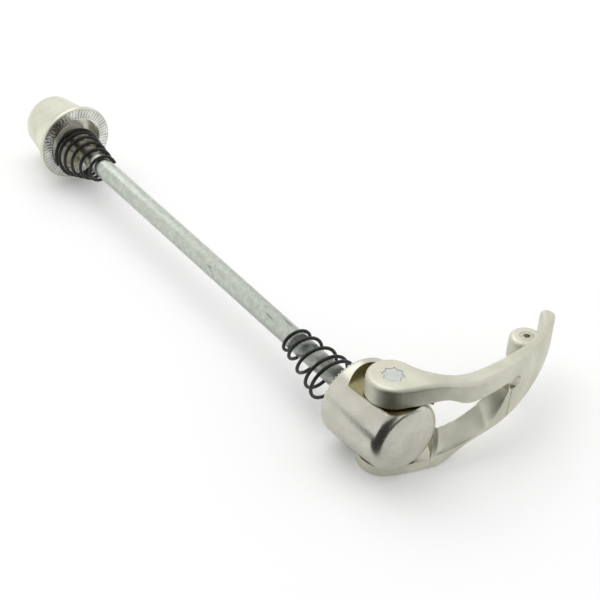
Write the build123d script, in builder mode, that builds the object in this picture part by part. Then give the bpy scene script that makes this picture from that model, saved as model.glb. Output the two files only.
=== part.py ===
from build123d import *
import os
from math import atan2, degrees, hypot, sqrt

# Quick release skewer for a front wheel, lever closed, nut backed off along its thread.
# Sizes are in millimetres. The origin is on the rod's axis, at the clamp face of the cam housing.
# +X runs along the rod from the nut to the lever, +Y along the closed lever, +Z up the cam axle.

# Fits
running_clearance = 0.04
seat_clearance = 0.05
bore_clearance = 0.25
thrust_gap = 0.15

# Rod
rod_diameter = 5.0
clamp_gap = 119.6
rod_in_nut = 8.0
rod_end_chamfer = 0.6
head_radius = 4.7
head_front_wall = 1.3
head_back_wall = 2.2
head_shoulder = 2.0

# Cam axle
cam_to_end = 7.2
cam_throw = 1.0
cam_radius = 2.7
cam_step = 0.1
eye_clearance = 0.3
eye_side_clearance = 0.2
star_width = 3.5
star_corner = 45.0
star_gap = 0.1
axle_end_recess = 0.05

# Cam housing
housing_length = 18.8
housing_radius = 9.7
housing_end_radius = 8.6
housing_rim_round = 1.0
housing_end_round = 2.2
housing_dome = 0.4
seat_inset = 2.1
pocket_radius = 9.1

# Cam bushes
bush_wall = 0.8
bush_flange = 0.3
bush_flange_radius = 5.3
bush_tab_reach = 9.1
bush_tab_width = 1.6
bush_tab_angle = 42.0

# Lever, in plan from the cam axis
hub_radius = 5.8
lever_reach = 56.6
bow_back = 47.3
bow_along = 16.0
arm_width = 4.7
arm_width_station = 14.5
slim_width = 2.7
hollow_radius = 57.1
neck_radius = 7.0
flare_length = 9.6
tip_width = 3.6
tip_round = 1.7

# Lever, seen along the rod
upper_arm_height = 4.8
heel_length = 8.5
lower_arm_height = 2.85
crown_heights = [10.1, 8.6, 6.6]
belly_heights = [-8.6, -6.4, -3.8]
spine_stations = [14.5, 28.0, 42.0]
tip_top = 3.4
tip_bottom = -1.6
tip_top_slope = -0.3
tip_bottom_slope = 0.15
level_length = 3.5
edge_round = 1.0

# Fork between the arms
relief_gap = 0.5
arm_thickness = 5.3
fork_bend_start = 6.8
fork_roof_station = 14.2
fork_roof = 5.3
fork_root = 28.2
fork_root_height = 4.6
fork_root_slope = 0.15

# Lower arm's crowned top: stations, heights on the inner and outer side
slope_stations = [5.0, 22.0]
slope_inner_heights = [-2.75, 1.4]
slope_outer_heights = [-8.0, -5.5]
slope_crown = 0.8
ramp_crown = 0.1
ramp_fall = 0.1

# Joint between the handle and the lower arm
joint_station = 29.8
joint_top = 2.2
joint_lean = 1.8
tongue_top = 0.4
tongue_thickness = 2.5
pin_diameter = 2.8
pin_station = 30.4
pin_height = 3.4
pin_wall = 1.0
pin_clearance = 0.1
pin_turn = -30.0
pin_length = 5.5
pin_recess = 0.6

# Boss and its screw
boss_station = 43.0
boss_inset = -4.1
boss_radius = 4.0
boss_top = 4.7
boss_bottom = -2.0
boss_round = 1.2
screw_head_diameter = 3.4
screw_head_height = 1.6
screw_diameter = 2.0
screw_end_wall = 0.5
screw_socket = 1.5
screw_socket_depth = 0.9

# Clamp rings
ring_outer_radius = 9.0
ring_inner_radius = 5.0
nut_ring_outer_radius = 9.5
nut_ring_inner_radius = 7.0
ring_thickness = 1.2
ring_proud = 0.35
tooth_count = 60
tooth_depth = 0.4
tooth_length = 2.2
tooth_inset = 0.1
tooth_land = 0.2
tooth_width = 0.65
tooth_flank = 62.0

# Nut
nut_length = 15.1
flange_radius = 9.95
flange_thickness = 0.95
flange_round = 0.3
nut_waist_radius = 8.35
nut_waist_station = 4.5
nut_end_radius = 6.7
nut_end_round = 2.6
nut_dome = 0.6
recess_radius = 6.8
recess_depth = 3.0
thread_depth = 13.9
finger_flat = 6.3
finger_flat_length = 9.0
friction_ring_radius = 4.2
friction_ring_length = 2.0

# Springs
wire_diameter = 0.75
wire_sides = 5
lever_spring_start = 22.9
lever_spring_length = 15.4
lever_spring_turns = 4.9
lever_spring_radius = 5.7
lever_spring_droop = 2.0
nut_spring_seat = 0.6
nut_spring_length = 16.6
nut_spring_turns = 5.5
nut_spring_radius = 5.6
nut_spring_droop = 0.4
small_end_radius = 3.2
small_end_droop = 0.1

# Worked out from the sizes above
rod_radius = rod_diameter / 2
nut_face = -clamp_gap
cam_offset = housing_length - cam_to_end
seat_height = housing_radius - seat_inset
bore_radius = head_radius + bore_clearance
cam_reach = cam_radius + cam_throw
eye_centre = cam_offset + cam_throw
eye_half_length = cam_radius + eye_clearance
eye_half_width = cam_reach + eye_side_clearance
head_front = eye_centre + eye_half_length + head_front_wall
head_back = eye_centre - eye_half_length - head_back_wall
upper_journal_radius = cam_reach + cam_step
lower_journal_radius = cam_radius - cam_throw - cam_step
arm_gap = seat_height + bush_flange + thrust_gap
hub_top = arm_gap + upper_arm_height
hub_bottom = -arm_gap - lower_arm_height
cam_bottom = thrust_gap - sqrt(bore_radius**2 - cam_reach**2)
dome_radius = (housing_end_radius**2 + housing_dome**2) / (2 * housing_dome)
relief_radius = hypot(housing_end_radius, housing_length - cam_offset - housing_end_round) + relief_gap
bow_centre = Vector(-bow_back, bow_along)
bow_radius = bow_centre.length + hub_radius
flare_station = lever_reach - flare_length
window_middle = (joint_top + fork_root_height) / 2
pin_radius = pin_diameter / 2
nut_dome_radius = (nut_end_radius**2 + nut_dome**2) / (2 * nut_dome)

# Planes through the cam axis: the plan of the lever and the view along the rod
cam_plane = Plane(origin=(cam_offset, 0, 0))
side_plane = Plane.YZ.offset(cam_offset)
across = 2 * lever_reach


def meeting_point(first_centre, first_radius, second_centre, second_radius):
    """The point, on the left going from one centre to the other, where two circles meet."""
    between = second_centre - first_centre
    span = between.length
    along = (first_radius**2 - second_radius**2 + span**2) / (2 * span)
    rise = sqrt(first_radius**2 - along**2)
    direction = between.normalized()
    return first_centre + direction * along - Vector(-direction.Y, direction.X) * rise


def arc_middle(centre, radius, start, end):
    """The middle of the short arc between two points of a circle."""
    return centre + ((start - centre).normalized() + (end - centre).normalized()).normalized() * radius


def point_on_arc(centre, radius, station):
    """The point of an arc at a distance along the lever."""
    return Vector(centre.X + sqrt(radius**2 - (station - centre.Y) ** 2), station)


def inside_bow(station, width):
    """The point on the lever's inner side, a width away from the bow at a distance along the lever."""
    outside = point_on_arc(bow_centre, bow_radius, station)
    return outside - (outside - bow_centre).normalized() * width


def faces_up(face):
    """Whether a face looks mostly up."""
    return face.normal_at().Z > sqrt(0.5)


def faces_down(face):
    """Whether a face looks mostly down."""
    return face.normal_at().Z < -sqrt(0.5)


def rim_edges(faces):
    """The border of a group of faces: the edges that only one of them has."""
    edges = [edge for face in faces for edge in face.edges()]
    return [edge for edge in edges if sum(edge.is_same(other) for other in edges) == 1]


def rims_along_rod(turned):
    """The full circles of a turned piece, from the nut's end to the lever's."""
    return turned.edges().filter_by(lambda edge: edge.is_closed).sort_by(Axis.X)


def conical_spring(start, end, turns):
    """A left-hand coil of wire between two ends, each given by its place on the rod, radius and droop."""
    start_place, start_radius, start_droop = start
    end_place, end_radius, end_droop = end
    length = end_place - start_place
    slope = degrees(atan2(end_radius - start_radius, length))
    with BuildPart() as spring:
        with BuildLine() as coil:
            Helix(
                length / turns,
                length,
                start_radius,
                (start_place, 0, -start_droop),
                (length, 0, start_droop - end_droop),
                cone_angle=slope,
                lefthand=True,
            )
        with BuildSketch(Plane(origin=coil.line @ 0, z_dir=coil.line % 0)):
            RegularPolygon(wire_diameter / 2, wire_sides)
        sweep(path=coil.line, is_frenet=True)
    return spring.part


def clamp_ring(face_plane, outer_radius, inner_radius):
    """A pressed-in steel ring with radial teeth on its outer face, joined by a narrow land inside."""
    land_edge = outer_radius - tooth_inset - tooth_length
    root = Plane(origin=(land_edge - tooth_land / 2, 0, -tooth_depth), x_dir=(0, 1, 0), z_dir=(1, 0, 0))
    with BuildPart() as tooth:
        with BuildSketch(root):
            Trapezoid(tooth_width, tooth_depth, tooth_flank, align=(Align.CENTER, Align.MIN))
        extrude(amount=tooth_length + tooth_land / 2)
    with BuildPart() as ring:
        with BuildSketch(face_plane.offset(-tooth_depth)):
            Circle(outer_radius)
            Circle(inner_radius, mode=Mode.SUBTRACT)
        extrude(amount=tooth_depth - ring_thickness)
        with BuildSketch(face_plane):
            Circle(land_edge)
            Circle(land_edge - tooth_land, mode=Mode.SUBTRACT)
        extrude(amount=-tooth_depth)
        with Locations(face_plane):
            with PolarLocations(0, tooth_count):
                add(tooth.part)
    return ring.part


def flanged_bush(seat_plane, inner_radius, depth):
    """A bush under a thrust flange, its collar going down into the housing's wall."""
    with BuildPart() as bush:
        with BuildSketch(seat_plane):
            Circle(bush_flange_radius)
        extrude(amount=bush_flange)
        with BuildSketch(seat_plane):
            Circle(inner_radius + bush_wall)
        extrude(amount=-depth)
        with BuildSketch(seat_plane.offset(bush_flange)):
            Circle(inner_radius)
        extrude(amount=-bush_flange - depth, mode=Mode.SUBTRACT)
    return bush.part


# Skewer rod: plain rod with a stout head, and an eye across the head for the cam
with BuildPart() as skewer_rod:
    with BuildSketch():
        with BuildLine():
            Polyline(
                (nut_face - rod_in_nut, 0),
                (nut_face - rod_in_nut, rod_radius - rod_end_chamfer),
                (nut_face - rod_in_nut + rod_end_chamfer, rod_radius),
                (head_back - head_shoulder, rod_radius),
                (head_back, head_radius),
                (head_front, head_radius),
                (head_front, 0),
                close=True,
            )
        make_face()
    revolve(axis=Axis.X)
    with BuildSketch(Plane(origin=(eye_centre, 0, 0))):
        SlotOverall(2 * eye_half_width, 2 * eye_half_length, rotation=90)
    extrude(amount=2 * head_radius, both=True, mode=Mode.SUBTRACT)
skewer_rod.part.label = "skewer_rod"

# Cam axle: star end, upper journal, cam off the axis, lower journal
with BuildPart() as cam_axle:
    with BuildSketch(cam_plane.offset(bore_radius)):
        Circle(upper_journal_radius)
    extrude(amount=arm_gap - bore_radius)
    with BuildSketch(cam_plane.offset(arm_gap)):
        Rectangle(star_width, star_width)
        Rectangle(star_width, star_width, rotation=star_corner)
    extrude(amount=upper_arm_height - axle_end_recess)
    with BuildSketch(cam_plane.offset(cam_bottom)):
        with Locations((cam_throw, 0)):
            Circle(cam_radius)
    extrude(amount=bore_radius - cam_bottom)
    with BuildSketch(cam_plane.offset(hub_bottom + axle_end_recess)):
        Circle(lower_journal_radius)
    extrude(amount=cam_bottom - hub_bottom - axle_end_recess)
cam_axle.part.label = "cam_axle"

# Cam bushes: the upper one has a tab that shows beside the housing
upper_seat = cam_plane.offset(seat_height)
lower_seat = Plane(origin=(cam_offset, 0, -seat_height), z_dir=(0, 0, -1))
upper_bush_radius = upper_journal_radius + running_clearance
lower_bush_radius = lower_journal_radius + running_clearance

with BuildPart() as upper_cam_bush:
    add(flanged_bush(upper_seat, upper_bush_radius, seat_height - bore_radius))
    with BuildSketch(upper_seat):
        with PolarLocations((bush_flange_radius + bush_tab_reach) / 2, 1, bush_tab_angle):
            Rectangle(bush_tab_reach - bush_flange_radius + bush_wall, bush_tab_width)
    extrude(amount=bush_flange)
upper_cam_bush.part.label = "upper_cam_bush"

with BuildPart() as lower_cam_bush:
    add(flanged_bush(lower_seat, lower_bush_radius, seat_height - bore_radius))
lower_cam_bush.part.label = "lower_cam_bush"

# Cam housing: crowned drum, closed at its outer end, bored from the rod's side
with BuildPart() as cam_housing:
    with BuildSketch():
        with BuildLine():
            crown = TangentArc(
                (ring_proud, housing_radius), (housing_length, housing_end_radius), tangent=(1, 0)
            )
            dome = RadiusArc(crown @ 1, (housing_length + housing_dome, 0), -dome_radius)
            Polyline(dome @ 1, (ring_proud, 0), crown @ 0)
        make_face()
    revolve(axis=Axis.X)
    fillet(rims_along_rod(cam_housing)[0], housing_rim_round)
    fillet(rims_along_rod(cam_housing)[-1], housing_end_round)
    with BuildSketch(Plane.YZ):
        Circle(bore_radius)
    extrude(amount=head_front + bore_clearance, mode=Mode.SUBTRACT)
    with BuildSketch(Plane.YZ):
        Circle(ring_outer_radius + seat_clearance)
    extrude(amount=ring_thickness, mode=Mode.SUBTRACT)
    with BuildSketch(upper_seat):
        Circle(pocket_radius)
    extrude(amount=housing_radius, mode=Mode.SUBTRACT)
    with BuildSketch(lower_seat):
        Circle(pocket_radius)
    extrude(amount=housing_radius, mode=Mode.SUBTRACT)
    with BuildSketch(cam_plane):
        Circle(upper_bush_radius + bush_wall + seat_clearance)
    extrude(amount=housing_radius, mode=Mode.SUBTRACT)
    with BuildSketch(cam_plane):
        Circle(lower_bush_radius + bush_wall + seat_clearance)
    extrude(amount=-housing_radius, mode=Mode.SUBTRACT)
cam_housing.part.label = "cam_housing"

# Clamp rings, in the housing's face and in the nut's flange
housing_clamp_ring = clamp_ring(
    Plane(origin=(0, 0, 0), x_dir=(0, 1, 0), z_dir=(-1, 0, 0)),
    ring_outer_radius,
    ring_inner_radius,
)
housing_clamp_ring.label = "housing_clamp_ring"
nut_clamp_ring = clamp_ring(
    Plane(origin=(nut_face, 0, 0), x_dir=(0, 1, 0), z_dir=(1, 0, 0)),
    nut_ring_outer_radius,
    nut_ring_inner_radius,
)
nut_clamp_ring.label = "nut_clamp_ring"

# Lever blank: the bowed plan, trimmed by the outline seen along the rod, with soft edges
with BuildLine(mode=Mode.PRIVATE):
    hollow = RadiusArc(
        inside_bow(arm_width_station, arm_width), inside_bow(flare_station, slim_width), -hollow_radius
    )
hollow_centre = hollow.arc_center
neck_centre = meeting_point(
    Vector(0, 0), hub_radius + neck_radius, hollow_centre, hollow_radius - neck_radius
)
hub_tangent = bow_centre * (-hub_radius / bow_centre.length)
hub_leave = neck_centre.normalized() * hub_radius
hub_far_side = (hub_tangent.normalized() + hub_leave.normalized()).normalized() * -hub_radius
neck_end = hollow_centre + (neck_centre - hollow_centre).normalized() * hollow_radius
tip_outside = point_on_arc(bow_centre, bow_radius, lever_reach - tip_round)
tip_normal = (tip_outside - bow_centre).normalized()
tip_inside = tip_outside - tip_normal * tip_width
tip_end = (tip_outside + tip_inside) / 2 + Vector(-tip_normal.Y, tip_normal.X) * tip_round
flare_start = inside_bow(flare_station, slim_width)
flare_normal = (flare_start - hollow_centre).normalized()
spine_end = lever_reach + tip_round

with BuildPart() as lever_blank:
    with BuildSketch(cam_plane.offset(hub_bottom)):
        with BuildLine():
            ThreePointArc(hub_tangent, hub_far_side, hub_leave)
            ThreePointArc(
                hub_leave, arc_middle(neck_centre, neck_radius, hub_leave, neck_end), neck_end
            )
            ThreePointArc(
                neck_end, arc_middle(hollow_centre, hollow_radius, neck_end, flare_start), flare_start
            )
            TangentArc(flare_start, tip_inside, tangent=Vector(-flare_normal.Y, flare_normal.X))
            ThreePointArc(tip_inside, tip_end, tip_outside)
            ThreePointArc(
                tip_outside, arc_middle(bow_centre, bow_radius, tip_outside, hub_tangent), hub_tangent
            )
        make_face()
    extrude(amount=hub_top - hub_bottom)
    with BuildSketch(side_plane):
        with BuildLine():
            crown_line = Spline(
                (level_length, hub_top),
                *zip(spine_stations, crown_heights),
                (spine_end, tip_top),
                tangents=[(1, 0), (1, tip_top_slope)],
            )
            belly_line = Spline(
                (heel_length, hub_bottom),
                *zip(spine_stations, belly_heights),
                (spine_end, tip_bottom),
                tangents=[(1, 0), (1, tip_bottom_slope)],
            )
            Line(crown_line @ 1, belly_line @ 1)
            Polyline(
                crown_line @ 0,
                (-2 * hub_radius, hub_top),
                (-2 * hub_radius, hub_bottom),
                belly_line @ 0,
            )
        make_face()
    extrude(amount=across, both=True, mode=Mode.INTERSECT)
    fillet(rim_edges(lever_blank.faces().filter_by(faces_up)), edge_round)
    fillet(rim_edges(lever_blank.faces().filter_by(faces_down)), edge_round)

# Fork: room for the housing, closed and thrown over, window between the arms, lower arm's crowned top
slope_sections = [
    *zip(slope_stations, slope_inner_heights, slope_outer_heights, [slope_crown, slope_crown]),
    (fork_root, joint_top, joint_top - ramp_fall, ramp_crown),
]

with BuildPart() as lever_fork:
    add(lever_blank.part)
    with BuildSketch(cam_plane):
        Circle(relief_radius)
    extrude(amount=arm_gap, both=True, mode=Mode.SUBTRACT)
    with BuildSketch(side_plane):
        Circle(housing_radius + relief_gap)
        Rectangle(2 * relief_radius, 2 * arm_gap, mode=Mode.INTERSECT)
    extrude(amount=across, mode=Mode.SUBTRACT)
    with BuildSketch(side_plane):
        with BuildLine():
            roof = Spline(
                (fork_bend_start, arm_gap),
                (fork_roof_station, fork_roof),
                (fork_root, fork_root_height),
                tangents=[(1, 0), (1, -fork_root_slope)],
            )
            Polyline(
                roof @ 1,
                (fork_root, joint_top),
                *reversed(list(zip(slope_stations, slope_inner_heights))),
                (0, slope_inner_heights[0]),
                (0, arm_gap),
                roof @ 0,
            )
        make_face()
    extrude(amount=across, both=True, mode=Mode.SUBTRACT)
    for station, inner_height, outer_height, crown_height in slope_sections:
        with BuildSketch(Plane(origin=(cam_offset, station, 0), x_dir=(1, 0, 0), z_dir=(0, -1, 0))):
            with BuildLine():
                edge = point_on_arc(bow_centre, bow_radius, station)
                slope = SagittaArc(
                    (edge.X - arm_thickness, inner_height), (edge.X, outer_height), -crown_height
                )
                Polyline(
                    slope @ 1,
                    (edge.X + arm_thickness, outer_height),
                    (edge.X + arm_thickness, window_middle),
                    (edge.X - arm_thickness, window_middle),
                    slope @ 0,
                )
            make_face()
    loft(ruled=True, mode=Mode.SUBTRACT)


def joint_region(gap):
    """The lower arm's share of the lever: its arm, its tongue and the eye under the boss."""
    boss_place = cam_plane.offset(tongue_top + gap)
    with BuildPart() as arm_share:
        with BuildSketch(side_plane):
            with BuildLine():
                Polyline(
                    (-2 * hub_radius, joint_top),
                    (joint_station, joint_top),
                    (joint_station - joint_lean, 2 * hub_bottom),
                    (-2 * hub_radius, 2 * hub_bottom),
                    close=True,
                )
            make_face()
            offset(amount=gap)
        extrude(amount=across, both=True)
    with BuildPart() as tongue:
        with BuildSketch(side_plane):
            with BuildLine():
                Polyline(
                    (fork_root, 2 * hub_bottom),
                    (boss_station, 2 * hub_bottom),
                    (boss_station, tongue_top),
                    (fork_root, tongue_top),
                    close=True,
                )
            make_face()
            with Locations((pin_station, pin_height)):
                Circle(pin_radius + pin_wall)
            with Locations((pin_station, pin_height / 2)):
                Rectangle(2 * (pin_radius + pin_wall), pin_height)
            offset(amount=gap)
        extrude(amount=across, both=True)
        with BuildSketch(Plane(origin=(cam_offset + hollow_centre.X, hollow_centre.Y, 0))):
            Circle(hollow_radius + tongue_thickness + gap)
        extrude(amount=across, both=True, mode=Mode.INTERSECT)
    with BuildPart() as eye:
        with BuildSketch(boss_place):
            with Locations((boss_inset, boss_station)):
                Circle(boss_radius + gap)
        extrude(amount=boss_bottom - tongue_top - 2 * gap)
    with BuildPart() as share:
        add(arm_share.part)
        add(tongue.part)
        add(eye.part)
    return share.part


# Handle and lower arm: the forked lever with its boss, parted along the joint
boss_plane = cam_plane.offset(boss_top)
pin_mouth = point_on_arc(bow_centre, bow_radius, pin_station)
pin_direction = Vector(1, 0).rotate(Axis.Z, pin_turn)
pin_plane = Plane(origin=(cam_offset + pin_mouth.X, pin_station, pin_height), z_dir=pin_direction)
screw_length = boss_top - boss_bottom - screw_end_wall

with BuildPart() as boss:
    with BuildSketch(boss_plane):
        with Locations((boss_inset, boss_station)):
            Circle(boss_radius)
    extrude(amount=boss_bottom - boss_top)
    fillet(boss.edges().filter_by(GeomType.CIRCLE), boss_round)

with BuildPart() as lever_handle:
    add(lever_fork.part)
    add(boss.part)
    add(joint_region(seat_clearance), mode=Mode.SUBTRACT)
    with BuildSketch(cam_plane.offset(hub_top)):
        Rectangle(star_width + 2 * star_gap, star_width + 2 * star_gap)
        Rectangle(star_width + 2 * star_gap, star_width + 2 * star_gap, rotation=star_corner)
    extrude(amount=-hub_top, mode=Mode.SUBTRACT)
    with BuildSketch(boss_plane):
        with Locations((boss_inset, boss_station)):
            Circle(screw_head_diameter / 2 + seat_clearance)
    extrude(amount=-screw_head_height, mode=Mode.SUBTRACT)
    with BuildSketch(boss_plane):
        with Locations((boss_inset, boss_station)):
            Circle(screw_diameter / 2 + seat_clearance)
    extrude(amount=tongue_top - boss_top, mode=Mode.SUBTRACT)
    with BuildSketch(pin_plane.offset(pin_length)):
        Circle(pin_radius + pin_clearance)
    extrude(amount=-2 * pin_length - seat_clearance, mode=Mode.SUBTRACT)
lever_handle.part.label = "lever_handle"

with BuildPart() as lower_arm:
    add(lever_fork.part)
    add(boss.part)
    add(joint_region(0), mode=Mode.INTERSECT)
    with BuildSketch(cam_plane):
        Circle(lower_journal_radius + seat_clearance)
    extrude(amount=hub_bottom, mode=Mode.SUBTRACT)
    with BuildSketch(boss_plane):
        with Locations((boss_inset, boss_station)):
            Circle(screw_diameter / 2 + seat_clearance)
    extrude(amount=-screw_length - seat_clearance, mode=Mode.SUBTRACT)
    with BuildSketch(pin_plane.offset(pin_length)):
        Circle(pin_radius + pin_clearance)
    extrude(amount=-2 * pin_length - seat_clearance, mode=Mode.SUBTRACT)
lower_arm.part.label = "lower_arm"

# Fasteners of the joint
with BuildPart() as arm_screw:
    with BuildSketch(boss_plane):
        with Locations((boss_inset, boss_station)):
            Circle(screw_head_diameter / 2)
    extrude(amount=-screw_head_height)
    with BuildSketch(boss_plane):
        with Locations((boss_inset, boss_station)):
            Circle(screw_diameter / 2)
    extrude(amount=-screw_length)
    with BuildSketch(boss_plane):
        with Locations((boss_inset, boss_station)):
            RegularPolygon(screw_socket / 2, 6, major_radius=False)
    extrude(amount=-screw_socket_depth, mode=Mode.SUBTRACT)
arm_screw.part.label = "arm_screw"

with BuildPart() as arm_pin:
    with BuildSketch(pin_plane.offset(-pin_recess)):
        Circle(pin_radius)
    extrude(amount=pin_recess - pin_length)
arm_pin.part.label = "arm_pin"

# Nut: bell-shaped body with a flange, a recess for the spring and two finger flats
with BuildPart() as nut_body:
    with BuildSketch():
        with BuildLine():
            Polyline(
                (nut_face - ring_proud, 0),
                (nut_face - ring_proud, flange_radius),
                (nut_face - ring_proud - flange_thickness, flange_radius),
            )
            barrel = Line(
                (nut_face - nut_length, nut_end_radius), (nut_face - nut_waist_station, nut_waist_radius)
            )
            TangentArc(
                barrel @ 1, (nut_face - ring_proud - flange_thickness, flange_radius), tangent=barrel % 1
            )
            end = RadiusArc(barrel @ 0, (nut_face - nut_length - nut_dome, 0), nut_dome_radius)
            Line(end @ 1, (nut_face - ring_proud, 0))
        make_face()
    revolve(axis=Axis.X)
    fillet(rims_along_rod(nut_body)[0], nut_end_round)
    fillet(rims_along_rod(nut_body)[-1], flange_round)
    for side in (1, -1):
        with BuildSketch(Plane.XZ.offset(-side * finger_flat)):
            with Locations((nut_face - nut_length - nut_dome, 0)):
                Rectangle(2 * finger_flat_length, 2 * flange_radius)
        extrude(amount=-side * flange_radius, mode=Mode.SUBTRACT)
    with BuildSketch(Plane.YZ.offset(nut_face)):
        Circle(nut_ring_outer_radius + seat_clearance)
    extrude(amount=-ring_thickness, mode=Mode.SUBTRACT)
    with BuildSketch(Plane.YZ.offset(nut_face)):
        Circle(recess_radius)
    extrude(amount=-recess_depth, mode=Mode.SUBTRACT)
    with BuildSketch(Plane.YZ.offset(nut_face - recess_depth)):
        Circle(friction_ring_radius + seat_clearance)
    extrude(amount=-friction_ring_length, mode=Mode.SUBTRACT)
    with BuildSketch(Plane.YZ.offset(nut_face)):
        Circle(rod_radius + running_clearance)
    extrude(amount=-thread_depth, mode=Mode.SUBTRACT)
nut_body.part.label = "nut_body"

with BuildPart() as nut_friction_ring:
    with BuildSketch(Plane.YZ.offset(nut_face - recess_depth)):
        Circle(friction_ring_radius)
        Circle(rod_radius + running_clearance, mode=Mode.SUBTRACT)
    extrude(amount=-friction_ring_length)
nut_friction_ring.part.label = "nut_friction_ring"

# Springs: both open from the rod towards the clamp face beside them and hang down at their wide ends
lever_spring = conical_spring(
    (-lever_spring_start, small_end_radius, small_end_droop),
    (lever_spring_length - lever_spring_start, lever_spring_radius, lever_spring_droop),
    lever_spring_turns,
)
lever_spring.label = "lever_spring"
nut_spring_start = nut_face - recess_depth + nut_spring_seat
nut_spring = conical_spring(
    (nut_spring_start, nut_spring_radius, nut_spring_droop),
    (nut_spring_start + nut_spring_length, small_end_radius, small_end_droop),
    nut_spring_turns,
)
nut_spring.label = "nut_spring"

os.makedirs("parts", exist_ok=True)
pieces = [
    skewer_rod.part,
    cam_axle.part,
    upper_cam_bush.part,
    lower_cam_bush.part,
    cam_housing.part,
    housing_clamp_ring,
    lever_handle.part,
    lower_arm.part,
    arm_screw.part,
    arm_pin.part,
    lever_spring,
    nut_spring,
    nut_body.part,
    nut_clamp_ring,
    nut_friction_ring.part,
]
for piece in pieces:
    export_step(piece, f"parts/{piece.label}.step")
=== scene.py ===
"""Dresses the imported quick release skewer: finishes, wound springs, a rolled thread and a pale studio."""
import logging
import math
from dataclasses import dataclass
from enum import Enum

import bmesh
import bpy
from mathutils import Matrix, Vector


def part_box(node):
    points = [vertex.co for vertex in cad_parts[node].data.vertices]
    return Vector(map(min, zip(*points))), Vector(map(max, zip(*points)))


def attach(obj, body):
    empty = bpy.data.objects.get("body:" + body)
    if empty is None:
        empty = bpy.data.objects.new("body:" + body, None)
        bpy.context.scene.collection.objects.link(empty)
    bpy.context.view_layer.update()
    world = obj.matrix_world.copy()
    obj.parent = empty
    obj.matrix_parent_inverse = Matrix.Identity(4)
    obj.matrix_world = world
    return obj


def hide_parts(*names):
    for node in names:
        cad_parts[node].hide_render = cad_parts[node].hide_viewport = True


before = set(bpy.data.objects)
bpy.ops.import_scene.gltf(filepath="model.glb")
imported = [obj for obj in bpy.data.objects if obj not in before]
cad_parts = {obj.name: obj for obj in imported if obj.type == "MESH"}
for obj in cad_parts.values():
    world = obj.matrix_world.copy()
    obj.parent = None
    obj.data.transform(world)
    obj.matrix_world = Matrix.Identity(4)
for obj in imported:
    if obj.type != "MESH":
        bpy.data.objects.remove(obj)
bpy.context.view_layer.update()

MM = 0.001
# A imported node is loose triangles, and corners closer than this are one corner.
WELD_MM = 0.002
# Along the rod, the thread ends here and the plain shank starts.
THREAD_END_MM = -109.0
WHITE = (1.0, 1.0, 1.0, 1.0)
log = logging.getLogger("skewer")


class Body(Enum):
    """The moving bodies that new pieces ride on."""

    HOUSING = "housing"
    LEVER = "lever"
    ROD = "rod"
    NUT_CARRIER = "nut_carrier"


class Slot(Enum):
    """The record's material slot names for new pieces; no piece here is given one."""

    ROD = "rod_zinc"
    LEVER = "lever_alloy"
    SPRING = "spring_black"


class Winding(Enum):
    """Where a spring's coils lie closer together."""

    BOTH_ENDS = "both ends"
    NUT_END = "nut end"


def linear(colour: str) -> tuple[float, float, float, float]:
    """Turns an sRGB colour into linear light.

    Args:
        colour: Six hex digits after a hash.

    Returns:
        Linear red, green and blue, and full alpha.
    """
    channels = [int(colour[place:place + 2], 16) / 255 for place in (1, 3, 5)]
    light = [c / 12.92 if c <= 0.04045 else ((c + 0.055) / 1.055) ** 2.4 for c in channels]
    return (light[0], light[1], light[2], 1.0)


def between(ends: tuple[float, ...], share: float) -> float:
    """Reads a value that runs straight from the first end to the second."""
    return ends[0] + (ends[1] - ends[0]) * share


def smooth_step(share: float) -> float:
    """Eases a share between 0 and 1, level at both ends."""
    return share * share * (3 - 2 * share)


def add_node(tree: bpy.types.NodeTree, kind: str, settings: dict | None = None,
             inputs: dict | None = None) -> bpy.types.Node:
    """Adds a node with its settings and what feeds its sockets.

    Args:
        tree: The tree that gets the node.
        kind: Blender's name for the node.
        settings: Values of the node's own properties.
        inputs: A value, or a socket to link from, for each input name or number.

    Returns:
        The new node.
    """
    node = tree.nodes.new(kind)
    for name, value in (settings or {}).items():
        setattr(node, name, value)
    for key, value in (inputs or {}).items():
        if isinstance(value, bpy.types.NodeSocket):
            tree.links.new(value, node.inputs[key])
        else:
            node.inputs[key].default_value = value
    return node


def new_material(name: str) -> bpy.types.Material:
    """Starts a material.

    Args:
        name: The material's name.

    Returns:
        The material, with an empty tree.
    """
    material = bpy.data.materials.new(name)
    material.use_nodes = True
    material.node_tree.nodes.clear()
    return material


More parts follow.
